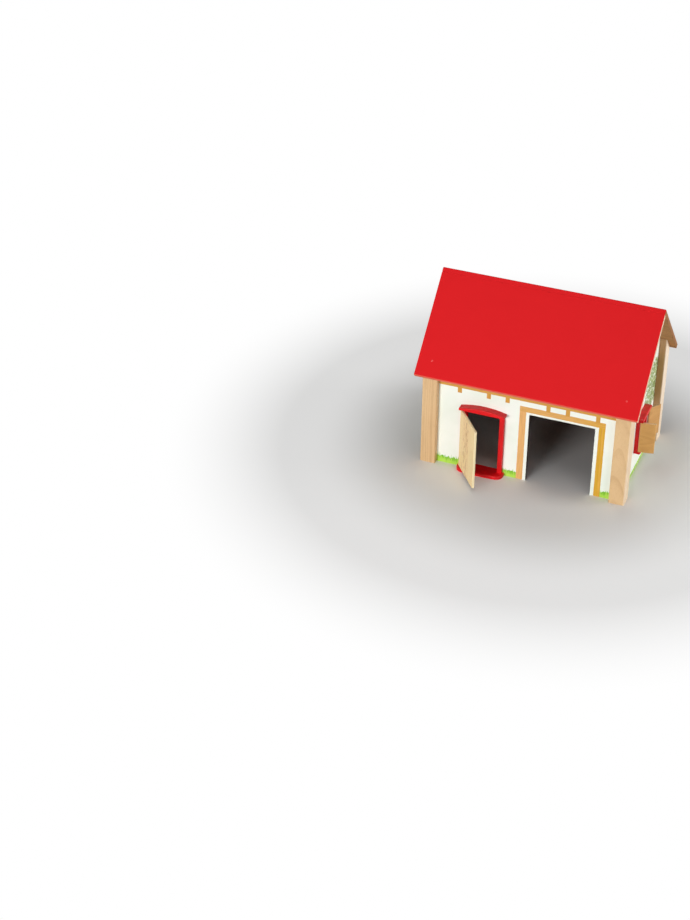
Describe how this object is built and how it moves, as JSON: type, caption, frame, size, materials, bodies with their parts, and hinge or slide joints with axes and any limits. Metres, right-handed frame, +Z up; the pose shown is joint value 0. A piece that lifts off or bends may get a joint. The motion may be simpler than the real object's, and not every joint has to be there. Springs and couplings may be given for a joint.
{
  "type": "toy barn with opening doors",
  "caption": "Small wooden toy barn with a pitched red roof on corner posts, an open gateway, a hinged plywood door in a moulded frame and a gable window with hinged shutters.",
  "frame": {"origin": "on the ground, in the middle of the front wall's foot, on the wall's mid-plane", "axes": "+X along the front from the door's side to the window's side, +Y from the front to the back, +Z up"},
  "size_m": [0.2356, 0.1827, 0.1873],
  "materials": {
    "post_wood": "sanded, clear sealed",
    "printed_plywood": "printed outside, natural inside",
    "roof_board": "painted red, satin",
    "leaf_wood": "natural plywood",
    "red_moulding": "glossy",
    "nail_steel": "bright drawn wire"
  },
  "bodies": {
    "barn": {"post_front_left": "post_wood", "post_front_right": "post_wood", "post_rear_left": "post_wood", "post_rear_right": "post_wood", "front_wall": "printed_plywood", "rear_wall": "printed_plywood", "left_gable_wall": "printed_plywood", "right_gable_wall": "printed_plywood", "roof_front_board": "roof_board", "roof_rear_board": "roof_board", "roof_nails_front": "nail_steel", "roof_nails_rear": "nail_steel", "door_frame": "red_moulding", "window_frame": "red_moulding"},
    "door": {"door_leaf": "leaf_wood", "door_pins": "nail_steel"},
    "front_shutter": {"shutter_front": "leaf_wood", "shutter_front_pins": "nail_steel"},
    "rear_shutter": {"shutter_rear": "leaf_wood", "shutter_rear_pins": "nail_steel"}
  },
  "joints": [
    {"name": "door_hinge", "type": "hinge", "parent": "barn", "child": "door", "pos_m": [-0.06534, -0.0072, 0.0374], "axis": [0, 0, -1], "range_deg": [-52.6, 117.4]},
    {"name": "front_shutter_hinge", "type": "hinge", "parent": "barn", "child": "front_shutter", "pos_m": [0.1058, 0.04875, 0.04715], "axis": [0, 0, -1], "range_deg": [-79.5, 95.5]},
    {"name": "rear_shutter_hinge", "type": "hinge", "parent": "barn", "child": "rear_shutter", "pos_m": [0.1058, 0.07925, 0.04715], "axis": [0, 0, 1], "range_deg": [-147.6, 27.4]}
  ]
}
